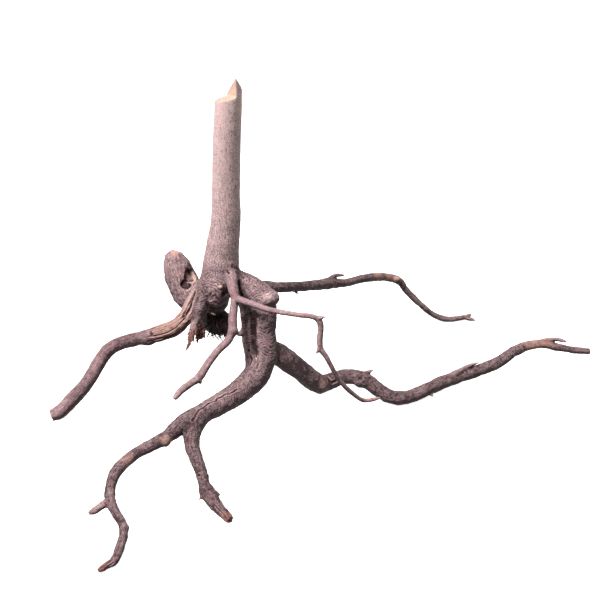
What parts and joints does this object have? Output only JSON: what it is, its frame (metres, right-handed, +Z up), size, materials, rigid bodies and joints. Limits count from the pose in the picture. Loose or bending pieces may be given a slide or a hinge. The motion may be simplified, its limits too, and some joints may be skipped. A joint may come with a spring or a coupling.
{
  "type": "vine driftwood",
  "caption": "Weathered vine root stock in one piece: a sawn, splintered upright stem on a gnarled crown, standing on bare roots that spread to the sides, front and back.",
  "frame": {"origin": "on the surface that the roots stand on, under the middle of the whole piece", "axes": "+Z up along the stem, +X towards the longest root, -Y towards the front roots"},
  "size_m": [0.502, 0.3902, 0.3162],
  "materials": {
    "weathered_wood": "dry weathered bark, pinkish grey brown, matt, with paler cut and torn ends"
  },
  "bodies": {
    "root": {"driftwood": "weathered_wood"}
  },
  "joints": []
}
